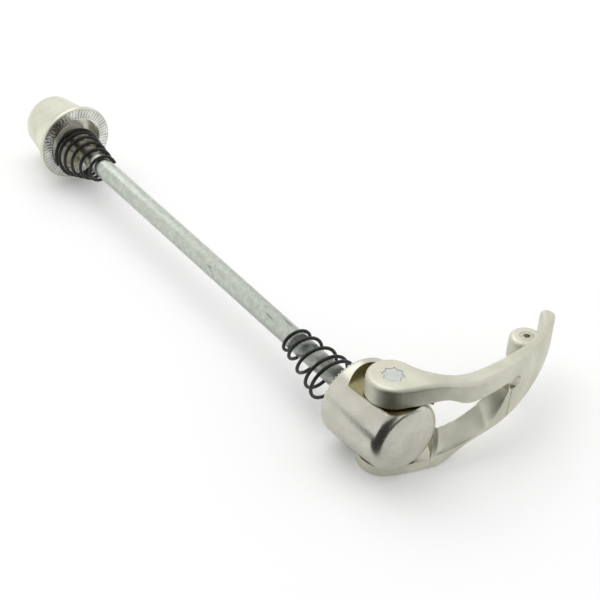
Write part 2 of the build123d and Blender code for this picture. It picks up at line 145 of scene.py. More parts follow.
@dataclass(frozen=True)
class Metal:
    """A metal, or another hard material, with clouded tone, fine grain and turning lines.

    The tone runs between a bright and a dull colour in patches, and the gloss with it, as handling
    leaves it. Turning lines circle the rod's axis.
    """

    name: str
    bright: str
    dull: str
    patch_mm: float
    polish: tuple[float, float]
    grain_mm: float
    grain_depth_mm: float
    turning_mm: float = 0.0
    turning_depth_mm: float = 0.0
    metallic: float = 1.0
    patch_edge: tuple[float, float] = (0.35, 0.65)
    patch_detail: float = 4.0
    patch_roughness: float = 0.6
    grain_detail: float = 2.0
    turning_drift_per_m: float = 30.0

    def tone(self, tree: bpy.types.NodeTree,
             place: bpy.types.NodeSocket) -> tuple[bpy.types.NodeSocket, bpy.types.NodeSocket]:
        """Clouds the colour and the gloss.

        Args:
            tree: The material's tree.
            place: Object coordinates.

        Returns:
            The colour socket and the roughness socket.
        """
        cloud = add_node(tree, "ShaderNodeTexNoise", None,
                         {"Vector": place, "Scale": 1 / (self.patch_mm * MM), "Detail": self.patch_detail,
                          "Roughness": self.patch_roughness})
        wear = add_node(tree, "ShaderNodeMapRange", {"interpolation_type": "SMOOTHSTEP"},
                        {"Value": cloud.outputs["Fac"], "From Min": self.patch_edge[0],
                         "From Max": self.patch_edge[1]})
        colour = add_node(tree, "ShaderNodeMix", {"data_type": "RGBA"},
                          {0: wear.outputs[0], 6: linear(self.dull), 7: linear(self.bright)})
        gloss = add_node(tree, "ShaderNodeMapRange", None,
                         {"Value": wear.outputs[0], "To Min": self.polish[1], "To Max": self.polish[0]})
        return colour.outputs[2], gloss.outputs[0]

    def overlaid(self, tree: bpy.types.NodeTree, place: bpy.types.NodeSocket,
               colour: bpy.types.NodeSocket) -> bpy.types.NodeSocket:
        """Leaves the colour clean. Finishes with grease and painted shade, oil or scratches have their own
        method.
        """
        return colour

    def relief(self, tree: bpy.types.NodeTree, place: bpy.types.NodeSocket) -> bpy.types.NodeSocket:
        """Gives the surface its grain and its turning lines.

        Args:
            tree: The material's tree.
            place: Object coordinates.

        Returns:
            The normal socket.
        """
        grain = add_node(tree, "ShaderNodeTexNoise", None,
                         {"Vector": place, "Scale": 1 / (self.grain_mm * MM), "Detail": self.grain_detail})
        bump = add_node(tree, "ShaderNodeBump", None,
                        {"Height": grain.outputs["Fac"], "Distance": self.grain_depth_mm * MM,
                         "Strength": 1.0})
        if not self.turning_mm:
            return bump.outputs[0]
        across = add_node(tree, "ShaderNodeMapping", None,
                          {"Vector": place, "Scale": (1 / (self.turning_mm * MM), self.turning_drift_per_m,
                                                      self.turning_drift_per_m)})
        lines = add_node(tree, "ShaderNodeTexNoise", None,
                         {"Vector": across.outputs[0], "Scale": 1.0, "Detail": self.grain_detail})
        turned = add_node(tree, "ShaderNodeBump", None,
                          {"Height": lines.outputs["Fac"], "Distance": self.turning_depth_mm * MM,
                           "Strength": 1.0, "Normal": bump.outputs[0]})
        return turned.outputs[0]

    def material(self) -> bpy.types.Material:
        """The finish as a material, made at its first use."""
        return bpy.data.materials.get(self.name) or self.build()

    def build(self) -> bpy.types.Material:
        """Makes the material.

        Returns:
            The material, with its tone, what lies over it (dirt, and painted shade in the housing's pockets)
            and its relief joined in one surface.
        """
        material = new_material(self.name)
        tree = material.node_tree
        place = add_node(tree, "ShaderNodeTexCoord").outputs["Object"]
        colour, gloss = self.tone(tree, place)
        surface = add_node(tree, "ShaderNodeBsdfPrincipled", None,
                           {"Base Color": self.overlaid(tree, place, colour), "Roughness": gloss,
                            "Normal": self.relief(tree, place), "Metallic": self.metallic})
        add_node(tree, "ShaderNodeOutputMaterial", None, {"Surface": surface.outputs[0]})
        return material


@dataclass(frozen=True)
class GreaseAndShadeMetal(Metal):
    """A metal with old brown grease, and painted shade, on the two seats that the lever's arms turn on.

    The grease lies in a round pocket above and below the rod, thinner where it is smeared. Its colour is
    darker than grease alone because it also stands in for the shade inside the pockets, so it is partly
    painted shade.
    """

    # The pockets' colour: brown grease, made darker as painted shade inside the pockets.
    grease_and_shade: str = "#857F5A"
    axis_mm: float = 11.6
    reach_mm: float = 9.25
    reach_edge_mm: float = 0.1
    seat_mm: float = 7.55
    seat_edge_mm: float = 0.2
    smear_mm: float = 2.5
    smear_detail: float = 3.0
    smear_edge: tuple[float, float] = (0.3, 0.6)
    thinnest: float = 0.8

    def overlaid(self, tree: bpy.types.NodeTree, place: bpy.types.NodeSocket,
               colour: bpy.types.NodeSocket) -> bpy.types.NodeSocket:
        """Greases both pockets and paints their shade.

        Args:
            tree: The material's tree.
            place: Object coordinates.
            colour: The clean colour.

        Returns:
            The colour socket with grease and painted shade over it.
        """
        plan = add_node(tree, "ShaderNodeMapping", None,
                        {"Vector": place, "Location": (-self.axis_mm * MM, 0, 0), "Scale": (1, 1, 0)})
        reach = add_node(tree, "ShaderNodeVectorMath", {"operation": "LENGTH"}, {0: plan.outputs[0]})
        inside = add_node(tree, "ShaderNodeMapRange", None,
                          {"Value": reach.outputs["Value"], "From Min": self.reach_mm * MM,
                           "From Max": (self.reach_mm - self.reach_edge_mm) * MM})
        height = add_node(tree, "ShaderNodeSeparateXYZ", None, {"Vector": place}).outputs["Z"]
        level = add_node(tree, "ShaderNodeMath", {"operation": "ABSOLUTE"}, {0: height})
        seated = add_node(tree, "ShaderNodeMapRange", None,
                          {"Value": level.outputs[0], "From Min": (self.seat_mm - self.seat_edge_mm) * MM,
                           "From Max": self.seat_mm * MM})
        smear = add_node(tree, "ShaderNodeTexNoise", None,
                         {"Vector": place, "Scale": 1 / (self.smear_mm * MM), "Detail": self.smear_detail})
        film = add_node(tree, "ShaderNodeMapRange", None,
                        {"Value": smear.outputs["Fac"], "From Min": self.smear_edge[0],
                         "From Max": self.smear_edge[1], "To Min": self.thinnest})
        pocket = add_node(tree, "ShaderNodeMath", {"operation": "MULTIPLY"},
                          {0: inside.outputs[0], 1: seated.outputs[0]})
        # The pockets' mark, grease with painted shade, mixed over the clean colour.
        grease_and_shade_share = add_node(tree, "ShaderNodeMath", {"operation": "MULTIPLY"},
                           {0: pocket.outputs[0], 1: film.outputs[0]})
        grease_and_shade_colour = add_node(tree, "ShaderNodeMix", {"data_type": "RGBA"},
                         {0: grease_and_shade_share.outputs[0], 6: colour, 7: linear(self.grease_and_shade)})
        return grease_and_shade_colour.outputs[2]


@dataclass(frozen=True)
class PlatedRod(Metal):
    """Zinc plate on a drawn rod: a few scratches along it, and oil in the grooves of its thread."""

    scratch: str = "#5F625C"
    scratch_length_mm: float = 7.0
    scratch_width_mm: float = 0.8
    scratch_detail: float = 1.0
    scratch_edge: tuple[float, float] = (0.68, 0.74)
    scratch_share: float = 0.7
    oil: str = "#6E6A52"
    oil_edge_mm: tuple[float, float] = (0.6, -1.0)
    oil_share: float = 0.75

    def overlaid(self, tree: bpy.types.NodeTree, place: bpy.types.NodeSocket,
               colour: bpy.types.NodeSocket) -> bpy.types.NodeSocket:
        """Scratches the rod along its length and oils its threaded end.

        Args:
            tree: The material's tree.
            place: Object coordinates.
            colour: The clean colour.

        Returns:
            The colour socket with scratches and oil over it.
        """
        per_width = 1 / (self.scratch_width_mm * MM)
        stretched = add_node(tree, "ShaderNodeMapping", None,
                             {"Vector": place,
                              "Scale": (1 / (self.scratch_length_mm * MM), per_width, per_width)})
        marks = add_node(tree, "ShaderNodeTexNoise", None,
                         {"Vector": stretched.outputs[0], "Scale": 1.0, "Detail": self.scratch_detail})
        scored = add_node(tree, "ShaderNodeMapRange", None,
                          {"Value": marks.outputs["Fac"], "From Min": self.scratch_edge[0],
                           "From Max": self.scratch_edge[1], "To Max": self.scratch_share})
        worn = add_node(tree, "ShaderNodeMix", {"data_type": "RGBA"},
                        {0: scored.outputs[0], 6: colour, 7: linear(self.scratch)})
        along = add_node(tree, "ShaderNodeSeparateXYZ", None, {"Vector": place}).outputs["X"]
        threaded = add_node(tree, "ShaderNodeMapRange", None,
                            {"Value": along, "From Min": (THREAD_END_MM + self.oil_edge_mm[0]) * MM,
                             "From Max": (THREAD_END_MM + self.oil_edge_mm[1]) * MM,
                             "To Max": self.oil_share})
        oiled = add_node(tree, "ShaderNodeMix", {"data_type": "RGBA"},
                         {0: threaded.outputs[0], 6: worn.outputs[2], 7: linear(self.oil)})
        return oiled.outputs[2]


# Bead-blasted aluminium scatters light softly, so its planes read by tone and its edges glow.
# The blasting grit is about 0.1 mm, drawn at 0.3 mm so that it shows.
LEVER_FINISH = Metal("bead_blasted_anodised_aluminium", bright="#D5D4C5", dull="#CBCABA", patch_mm=8.0,
                     polish=(0.46, 0.54), grain_mm=0.3, grain_depth_mm=0.004)
# Satin polishing over turning leaves a sheen with fine rings and a blurred mirror.
# Its two pockets get brown grease, darkened as painted shade.
HOUSING_FINISH = GreaseAndShadeMetal("satin_polished_turned_aluminium", bright="#CCCABE", dull="#C1BFB2",
                              patch_mm=6.0, polish=(0.26, 0.32), grain_mm=0.4, grain_depth_mm=0.001,
                              turning_mm=0.35, turning_depth_mm=0.0006)
# Tumbling takes the tool marks off and leaves an even, creamy grey.
NUT_FINISH = Metal("tumbled_turned_aluminium", bright="#DDDECD", dull="#D3D3C1", patch_mm=6.0,
                   polish=(0.28, 0.38), grain_mm=0.35, grain_depth_mm=0.002, turning_mm=0.4,
                   turning_depth_mm=0.001)
# Bright nickel and chromium plate mirrors the studio, so the teeth flash light and dark.
RING_FINISH = Metal("bright_chromium_plated_steel", bright="#E4E4E1", dull="#D2D2CD", patch_mm=3.0,
                    polish=(0.1, 0.18), grain_mm=0.3, grain_depth_mm=0.001)
# Zinc plate is grey, faintly green and clouded, with a soft streak of light along the rod.
ROD_FINISH = PlatedRod("zinc_plated_drawn_steel", bright="#C4CAC0", dull="#B6BBB1", patch_mm=1.2,
                       polish=(0.28, 0.38), grain_mm=0.3, grain_depth_mm=0.002)
# Black oxide keeps the wire's sheen under a thin oiled skin, dark with a grey glint.
SPRING_FINISH = Metal("black_oxide_spring_wire", bright="#2A2725", dull="#1C1A19", patch_mm=2.0,
                      polish=(0.3, 0.42), grain_mm=0.25, grain_depth_mm=0.003, metallic=0.35)
# Turned brass is yellow, dulled here by grease.
BRASS_FINISH = Metal("turned_brass", bright="#C9A35C", dull="#9C7838", patch_mm=3.0, polish=(0.25, 0.4),
                     grain_mm=0.3, grain_depth_mm=0.002)
# Ground steel is cool and even, next to the warmer aluminium.
STEEL_FINISH = Metal("ground_carbon_steel", bright="#C6CAC6", dull="#B8BCB8", patch_mm=2.5,
                     polish=(0.25, 0.36), grain_mm=0.3, grain_depth_mm=0.001)
# Dull nickel on the screw and the dowel lies close to the lever's own tone.
SCREW_FINISH = Metal("dull_nickel_plated_steel", bright="#CFCDBF", dull="#BAB7A6", patch_mm=1.5,
                     polish=(0.3, 0.42), grain_mm=0.3, grain_depth_mm=0.001)
# The housing's clamp ring is plated dull, so that its teeth don't glitter at the rim.
DULL_RING_FINISH = Metal("dull_chromium_plated_steel", bright="#CFCDC2", dull="#C2C0B4", patch_mm=3.0,
                         polish=(0.35, 0.45), grain_mm=0.3, grain_depth_mm=0.001)
# Moulded nylon is milky and faintly glossy.
NYLON_FINISH = Metal("moulded_natural_nylon", bright="#E6E3D6", dull="#D8D4C4", patch_mm=4.0,
                     polish=(0.38, 0.48), grain_mm=0.4, grain_depth_mm=0.003, metallic=0.0)


def apply_finish(node: str, finish: Metal) -> None:
    """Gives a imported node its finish.

    Args:
        node: The node's name.
        finish: The finish, used on all of it.
    """
    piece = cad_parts[node]
    material = finish.material()
    for place in piece.material_slots:
        place.material = material
    if not piece.material_slots:
        piece.data.materials.append(material)
    log.info("%s: %s", node, material.name)


def cover(mesh: bpy.types.Mesh, material: bpy.types.Material) -> None:
    """Gives a new mesh one material and smooth faces.

    Args:
        mesh: The mesh.
        material: The material, used on all of it.
    """
    mesh.materials.clear()
    mesh.materials.append(material)
    mesh.shade_smooth()


def new_piece(name: str, data: bpy.types.ID) -> bpy.types.Object:
    """Puts a mesh, a curve, a lamp or a camera in the scene.

    Args:
        name: The new object's name.
        data: What the object shows.

    Returns:
        The object, at the origin.
    """
    piece = bpy.data.objects.new(name, data)
    bpy.context.scene.collection.objects.link(piece)
    return piece


def made_mesh(name: str, source: bpy.types.Object) -> bpy.types.Mesh:
    """Keeps what an object's modifiers make of it as a plain mesh.

    Args:
        name: The new mesh's name.
        source: The object, removed afterwards.

    Returns:
        The mesh.
    """
    evaluated = source.evaluated_get(bpy.context.evaluated_depsgraph_get())
    mesh = bpy.data.meshes.new_from_object(evaluated)
    mesh.name = name
    source.modifiers.clear()
    bpy.data.objects.remove(source)
    return mesh


def realised(name: str, source: bpy.types.Object, tree: bpy.types.NodeTree, inputs: dict) -> bpy.types.Mesh:
    """Runs a tree of geometry nodes on an object.

    Args:
        name: The new mesh's name.
        source: The object that the tree starts from, removed afterwards.
        tree: The tree, with named inputs.
        inputs: A value for each of the tree's inputs, by name.

    Returns:
        The result as a plain mesh.
    """
    modifier = source.modifiers.new(tree.name, "NODES")
    modifier.node_group = tree
    for item in tree.interface.items_tree:
        if item.in_out == "INPUT" and item.name in inputs:
            modifier[item.identifier] = inputs[item.name]
    source.update_tag()
    return made_mesh(name, source)


def new_tree(name: str, sockets: dict[str, str]) -> tuple[bpy.types.NodeTree, bpy.types.Node]:
    """Starts a tree of geometry nodes with named inputs.

    Args:
        name: The tree's name.
        sockets: The kind of socket for each input after the geometry.

    Returns:
        The tree and its input node.
    """
    tree = bpy.data.node_groups.new(name, "GeometryNodeTree")
    tree.interface.new_socket("Geometry", in_out="INPUT", socket_type="NodeSocketGeometry")
    for label, kind in sockets.items():
        tree.interface.new_socket(label, in_out="INPUT", socket_type=kind)
    tree.interface.new_socket("Geometry", in_out="OUTPUT", socket_type="NodeSocketGeometry")
    return tree, add_node(tree, "NodeGroupInput")


def end_tree(tree: bpy.types.NodeTree, shape: bpy.types.NodeSocket, finish: bpy.types.NodeSocket) -> None:
    """Ends a tree of geometry nodes: makes its instances real and gives the shape its finish.

    Args:
        tree: The tree.
        shape: The shape's socket.
        finish: The socket of the material that the shape gets.
    """
    real = add_node(tree, "GeometryNodeRealizeInstances", None, {"Geometry": shape})
    finished = add_node(tree, "GeometryNodeSetMaterial", None,
                        {"Geometry": real.outputs["Geometry"], "Material": finish})
    add_node(tree, "NodeGroupOutput", None, {"Geometry": finished.outputs["Geometry"]})


def coiled_wire_tree() -> bpy.types.NodeTree:
    """Builds the tree that draws round wire along a wound path.

    Returns:
        The tree.
    """
    tree, given = new_tree("coiled wire", {"Wire Radius": "NodeSocketFloat", "Sides": "NodeSocketInt",
                                           "Finish": "NodeSocketMaterial"})
    section = add_node(tree, "GeometryNodeCurvePrimitiveCircle", None,
                       {"Resolution": given.outputs["Sides"], "Radius": given.outputs["Wire Radius"]})
    wire = add_node(tree, "GeometryNodeCurveToMesh", None,
                    {"Curve": given.outputs["Geometry"], "Profile Curve": section.outputs["Curve"],
                     "Fill Caps": True})
    smooth = add_node(tree, "GeometryNodeSetShadeSmooth", None, {"Geometry": wire.outputs["Mesh"]})
    end_tree(tree, smooth.outputs["Geometry"], given.outputs["Finish"])
    return tree


def rolled_thread_tree() -> bpy.types.NodeTree:
    """Builds the tree that winds a sharp ridge along the rod's axis.

    Returns:
        The tree.
    """
    tree, given = new_tree("rolled thread", {"Turns": "NodeSocketFloat", "Steps": "NodeSocketInt",
                                             "Pitch Radius": "NodeSocketFloat", "Ridge": "NodeSocketFloat",
                                             "Ridge Sides": "NodeSocketInt", "Length": "NodeSocketFloat",
                                             "Start": "NodeSocketVector", "Finish": "NodeSocketMaterial"})
    path = add_node(tree, "GeometryNodeCurveSpiral", None,
                    {"Resolution": given.outputs["Steps"], "Rotations": given.outputs["Turns"],
                     "Start Radius": given.outputs["Pitch Radius"],
                     "End Radius": given.outputs["Pitch Radius"], "Height": given.outputs["Length"]})
    upright = add_node(tree, "GeometryNodeSetCurveNormal", {"mode": "Z_UP"}, {"Curve": path.outputs["Curve"]})
    section = add_node(tree, "GeometryNodeCurvePrimitiveCircle", None,
                       {"Resolution": given.outputs["Ridge Sides"], "Radius": given.outputs["Ridge"]})
    ridge = add_node(tree, "GeometryNodeCurveToMesh", None,
                     {"Curve": upright.outputs["Curve"], "Profile Curve": section.outputs["Curve"],
                      "Fill Caps": True})
    laid = add_node(tree, "GeometryNodeTransform", None,
                    {"Geometry": ridge.outputs["Mesh"], "Translation": given.outputs["Start"],
                     "Rotation": (0.0, math.pi / 2, 0.0)})
    end_tree(tree, laid.outputs["Geometry"], given.outputs["Finish"])
    return tree


def soften(shape: bmesh.types.BMesh, points: list[bmesh.types.BMVert], passes: int) -> None:
    """Smooths a part of a mesh.

    Args:
        shape: The mesh.
        points: The points that move, in each pass halfway to the middle of their neighbours.
        passes: How many times.
    """
    for _ in range(passes):
        bmesh.ops.smooth_vert(shape, verts=points, factor=0.5,
                              use_axis_x=True, use_axis_y=True, use_axis_z=True)


@dataclass
class CoilSpring:
    """A conical spring of black wire that hangs on the rod, wound left-handed.

    Its radius and its droop below the rod run from the nut's end to the lever's end.
    """

    node: str
    body: Body
    start_mm: float
    length_mm: float
    turns: float
    radius_mm: tuple[float, float]
    droop_mm: tuple[float, float]
    first_angle: float
    winding: Winding
    closing: float
    wire_radius_mm: float = 0.42
    sides: int = 12
    points_per_turn: int = 40

    def spread(self, part: float) -> float:
        """Works out how far along the spring a part of its wire reaches.

        Args:
            part: The share of the wire, from the nut's end.

        Returns:
            The share of the spring's length, with the coils closer together where the winding says.
        """
        if self.winding is Winding.NUT_END:
            return part ** self.closing
        return part - self.closing * math.sin(2 * math.pi * part) / (2 * math.pi)

    def route(self) -> list[Vector]:
        """Works out the wire's centre line.

        Returns:
            Points in metres, from the nut's end to the lever's.
        """
        count = round(self.turns * self.points_per_turn)
        lean = (self.droop_mm[0] - self.droop_mm[1]) / self.length_mm
        points = []
        for number in range(count + 1):
            part = number / count
            share = self.spread(part)
            radius = between(self.radius_mm, share)
            angle = math.radians(self.first_angle - 360 * self.turns * part)
            rise = radius * math.sin(angle)
            along = self.start_mm + self.length_mm * share - lean * rise
            height = rise - between(self.droop_mm, share)
            points.append(Vector((along, radius * math.cos(angle), height)) * MM)
        return points

    def build(self, tree: bpy.types.NodeTree, finish: bpy.types.Material) -> None:
        """Winds the wire and lets it stand for its node.

        Args:
            tree: The coiled wire tree.
            finish: The wire's finish.
        """
        route = self.route()
        path = bpy.data.curves.new(self.node + "_path", "CURVE")
        path.dimensions = "3D"
        line = path.splines.new("POLY")
        line.points.add(len(route) - 1)
        for point, place in zip(line.points, route):
            point.co = (*place, 1.0)
        mesh = realised(self.node + "_wound", new_piece(self.node + "_path", path), tree,
                        {"Wire Radius": self.wire_radius_mm * MM, "Sides": self.sides, "Finish": finish})
        piece = new_piece(self.node + "_wound", mesh)
        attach(piece, self.body.value)
        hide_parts(self.node)
        log.info("%s: %d faces of wire", piece.name, len(mesh.polygons))


LEVER_SPRING = CoilSpring("lever_spring", Body.HOUSING, start_mm=-23.1, length_mm=15.6, turns=4.9,
                          radius_mm=(3.0, 5.6), droop_mm=(0.05, 2.0), first_angle=365.0,
                          winding=Winding.BOTH_ENDS, closing=0.45)
NUT_SPRING = CoilSpring("nut_spring", Body.NUT_CARRIER, start_mm=-119.2, length_mm=14.0, turns=5.5,
                        radius_mm=(6.1, 3.1), droop_mm=(2.4, 0.15), first_angle=200.0,
                        winding=Winding.NUT_END, closing=1.5)


@dataclass
class Rod:
    """The skewer rod with its plain shank, its head around the cam and its threaded end."""

    radius_mm: float = 2.5
    pitch_mm: float = 0.8
    ridge_mm: float = 0.4
    ridge_sides: int = 4
    thread_steps: int = 24
    tip_chamfer_mm: float = 0.6
    tip_length_mm: float = 0.2
    run_out_mm: float = 0.4
    overlap_mm: float = 0.01
    sides: int = 48
    sharp_angle: float = 32.0

    def shank(self) -> bmesh.types.BMesh:
        """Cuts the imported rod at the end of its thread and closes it.

        Returns:
            The plain shank and the head.
        """
        shape = bmesh.new()
        shape.from_mesh(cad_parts["skewer_rod"].data)
        bmesh.ops.remove_doubles(shape, verts=shape.verts, dist=WELD_MM * MM)
        cut = bmesh.ops.bisect_plane(shape, geom=shape.verts[:] + shape.edges[:] + shape.faces[:],
                                     plane_co=(THREAD_END_MM * MM, 0, 0), plane_no=(1, 0, 0),
                                     clear_inner=True)
        rim = [item for item in cut["geom_cut"] if isinstance(item, bmesh.types.BMEdge)]
        bmesh.ops.holes_fill(shape, edges=rim, sides=0)
        return shape

    def core(self, shape: bmesh.types.BMesh, tip_mm: float) -> None:
        """Adds the core under the thread, with a chamfered tip, its last ring just inside the shank.

        Args:
            shape: The mesh that it is added to.
            tip_mm: Where the rod ends.
        """
        root = self.radius_mm - self.ridge_mm
        rings = ((tip_mm, self.radius_mm - self.tip_chamfer_mm), (tip_mm + self.tip_length_mm, root),
                 (THREAD_END_MM - self.run_out_mm, root),
                 (THREAD_END_MM + self.overlap_mm, self.radius_mm - self.overlap_mm))
        turns = [2 * math.pi * step / self.sides for step in range(self.sides)]
        last = None
        for along, radius in rings:
            ring = [shape.verts.new((along * MM, radius * MM * math.cos(turn), radius * MM * math.sin(turn)))
                    for turn in turns]
            if last is None:
                shape.faces.new(reversed(ring))
            else:
                for step in range(self.sides):
                    after = (step + 1) % self.sides
                    shape.faces.new((last[step], last[after], ring[after], ring[step]))
            last = ring
        shape.faces.new(last)

    def build(self, tree: bpy.types.NodeTree, finish: bpy.types.Material) -> None:
        """Makes the threaded rod and lets it stand for its node.

        Args:
            tree: The rolled thread tree.
            finish: The plating.
        """
        tip_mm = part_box("skewer_rod")[0].x / MM
        length_mm = THREAD_END_MM - tip_mm - 2 * self.ridge_mm
        source = new_piece("thread_source", bpy.data.meshes.new("thread_source"))
        thread = realised("rolled_thread", source, tree,
                          {"Turns": length_mm / self.pitch_mm, "Steps": self.thread_steps,
                           "Pitch Radius": (self.radius_mm - self.ridge_mm) * MM,
                           "Ridge": self.ridge_mm * MM, "Ridge Sides": self.ridge_sides,
                           "Length": length_mm * MM, "Start": ((tip_mm + self.ridge_mm) * MM, 0.0, 0.0),
                           "Finish": finish})
        shape = self.shank()
        self.core(shape, tip_mm)
        shape.from_mesh(thread)
        bmesh.ops.recalc_face_normals(shape, faces=shape.faces)
        mesh = bpy.data.meshes.new("skewer_rod_threaded")
        shape.to_mesh(mesh)
        shape.free()
        bpy.data.meshes.remove(thread)
        cover(mesh, finish)
        mesh.set_sharp_from_angle(angle=math.radians(self.sharp_angle))
        piece = new_piece("skewer_rod_threaded", mesh)
        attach(piece, Body.ROD.value)
        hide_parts("skewer_rod")
        log.info("%s: %d faces", piece.name, len(mesh.polygons))


@dataclass
class CamEnd:
    """The housing with its toothed ring, the cam axle and the bushes it turns in."""

    housing: Metal = HOUSING_FINISH
    clamp_ring: Metal = DULL_RING_FINISH
    bush: Metal = BRASS_FINISH
    axle: Metal = STEEL_FINISH

    def dress(self) -> None:
        """Gives each piece its finish."""
        apply_finish("cam_housing", self.housing)
        apply_finish("housing_clamp_ring", self.clamp_ring)
        apply_finish("upper_cam_bush", self.bush)
        apply_finish("lower_cam_bush", self.bush)
        apply_finish("cam_axle", self.axle)


@dataclass
class Lever:
    """The bowed handle with its lower arm, and the pin and screw that join them.

    The lower arm's sloping top is worn round, so a finer copy of the arm stands for its node.
    """

    alloy: Metal = LEVER_FINISH
    joint: Metal = SCREW_FINISH
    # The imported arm's slope: stations along the lever, and at each of them its outer edge, the
    # heights of its two edges and how hollow it is.
    stations_mm: tuple[float, ...] = (5.0, 22.0, 28.2)
    edges_mm: tuple[float, ...] = (18.937, 19.709, 18.681)
    inner_heights_mm: tuple[float, ...] = (-2.75, 1.4, 2.2)
    outer_heights_mm: tuple[float, ...] = (-8.0, -5.5, 2.1)
    hollows_mm: tuple[float, ...] = (0.8, 0.8, 0.1)
    slope_width_mm: float = 5.3
    # A point this close to the slope, and this little past its edges, belongs to it.
    reach_mm: float = 0.3
    past_edge: float = 0.02
    # The worn slope: the height of its outer edge with the rise per mm, and its crown, which grows
    # outwards from the room that the turning housing needs.
    worn_outer_mm: tuple[float, ...] = (-8.0, -4.9, 2.1)
    worn_rise: tuple[float, ...] = (0.1, 0.45, 1.9)
    crown_mm: float = 0.5
    housing_room_mm: float = 10.20
    crown_growth_mm: float = 1.6
    # The copy's grid, and where and how often it is smoothed: all of it, the slope with some rings of
    # faces around it, and the outer edge at the root.
    grid_mm: float = 0.18
    grid_passes: int = 1
    slope_mm: tuple[float, float] = (10.9, 26.5)
    slope_rings: int = 3
    slope_passes: int = 6
    root_mm: tuple[float, float] = (22.6, 27.4)
    root_width_mm: float = 3.4
    root_depth_mm: float = 1.2
    root_passes: int = 160

    def station(self, along: float) -> tuple[int, float]:
        """Finds the two stations that a place lies between.

        Args:
            along: The distance along the lever, in mm.

        Returns:
            The number of the first station, and the share of the way to the next one.
        """
        number = 0 if along < self.stations_mm[1] else 1
        first, last = self.stations_mm[number:number + 2]
        return number, (along - first) / (last - first)

    def straight(self, values: tuple[float, ...], along: float) -> float:
        """Reads a value that runs straight between the stations of the slope."""
        number, share = self.station(along)
        return between(values[number:number + 2], share)

    def curved(self, values: tuple[float, ...], rises: tuple[float, ...], along: float) -> float:
        """Reads a value that runs in a smooth curve through the stations of the slope.

        Args:
            values: The value at each station.
            rises: The value's rise per mm at each station.
            along: The distance along the lever, in mm.

        Returns:
            The value there.
        """
        number, share = self.station(along)
        span = self.stations_mm[number + 1] - self.stations_mm[number]
        lead = share * (1 - share) ** 2 * rises[number] - share * share * (1 - share) * rises[number + 1]
        return between(values[number:number + 2], smooth_step(share)) + lead * span

    def crowned(self, point: Vector) -> Vector | None:
        """Lifts a point of the sloping top onto a crown.

        Args:
            point: A point of the arm's surface, in mm.

        Returns:
            The new place, or nothing where the point is not on the slope.
        """
        along = point.y
        clear = math.hypot(along, point.z) - self.housing_room_mm
        if clear < 0 or not self.stations_mm[0] < along < self.stations_mm[-1]:
            return None
        edge = self.straight(self.edges_mm, along)
        inner = Vector((edge - self.slope_width_mm, self.straight(self.inner_heights_mm, along)))
        chord = Vector((edge, self.straight(self.outer_heights_mm, along))) - inner
        outward = Vector((-chord.y, chord.x)).normalized()
        offset = Vector((point.x, point.z)) - inner
        share = offset.dot(chord) / chord.length_squared
        bulge = 4 * share * (1 - share)
        hollow = self.straight(self.hollows_mm, along)
        if not -self.past_edge < share < 1 + self.past_edge:
            return None
        if abs(offset.dot(outward) + hollow * bulge) > self.reach_mm:
            return None
        worn = Vector((edge, self.curved(self.worn_outer_mm, self.worn_rise, along))) - inner
        outward = Vector((-worn.y, worn.x)).normalized()
        grown = smooth_step(min(1.0, clear / self.crown_growth_mm))
        crown = (1 + self.crown_mm / self.hollows_mm[0]) * grown - 1
        place = inner + worn * share + outward * bulge * hollow * crown
        return Vector((place.x, along, place.y))

    def at_root(self, point: Vector) -> bool:
        """Looks for the outer edge of the slope, where it fades into the handle's side.

        Args:
            point: A point of the arm's surface, in mm.

        Returns:
            Whether the point lies by that edge.
        """
        if not self.root_mm[0] < point.y < self.root_mm[1]:
            return False
        outside = point.x > self.straight(self.edges_mm, point.y) - self.root_width_mm
        return outside and point.z > self.straight(self.outer_heights_mm, point.y) - self.root_depth_mm

    def fine_copy(self) -> bpy.types.Mesh:
        """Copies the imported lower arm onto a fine, even grid.

        Returns:
            The copy.
        """
        source = new_piece("lower_arm_source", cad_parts["lower_arm"].data.copy())
        weld = source.modifiers.new("weld", "WELD")
        weld.merge_threshold = WELD_MM * MM
        grid = source.modifiers.new("grid", "REMESH")
        grid.mode = "VOXEL"
        grid.voxel_size = self.grid_mm * MM
        return made_mesh("lower_arm_worn", source)

    def wear(self, shape: bmesh.types.BMesh) -> int:
        """Crowns the arm's sloping top and softens its edges and its root.

        Args:
            shape: The fine copy of the arm.

        Returns:
            How many points lie on the slope.
        """
        soften(shape, shape.verts[:], self.grid_passes)
        worn = set()
        for vertex in shape.verts:
            place = self.crowned(vertex.co / MM)
            if place is not None:
                vertex.co = place * MM
                worn.add(vertex)
        lifted = len(worn)
        for _ in range(self.slope_rings):
            worn.update([edge.other_vert(vertex) for vertex in worn for edge in vertex.link_edges])
        slope = [vertex for vertex in shape.verts
                 if vertex in worn and self.slope_mm[0] < vertex.co.y / MM < self.slope_mm[1]]
        soften(shape, slope, self.slope_passes)
        root = [vertex for vertex in shape.verts if self.at_root(vertex.co / MM)]
        soften(shape, root, self.root_passes)
        return lifted

    def lower_arm(self) -> None:
        """Makes the lower arm with its worn, crowned top and lets it stand for its node."""
        mesh = self.fine_copy()
        shape = bmesh.new()
        shape.from_mesh(mesh)
        lifted = self.wear(shape)
        shape.to_mesh(mesh)
        shape.free()
        cover(mesh, self.alloy.material())
        piece = new_piece("lower_arm_worn", mesh)
        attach(piece, Body.LEVER.value)
        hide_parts("lower_arm")
        log.info("%s: %d faces, %d points on its slope", piece.name, len(mesh.polygons), lifted)

    def dress(self) -> None:
        """Gives each piece its finish."""
        apply_finish("lever_handle", self.alloy)
        self.lower_arm()
        apply_finish("arm_pin", self.joint)
        apply_finish("arm_screw", self.joint)


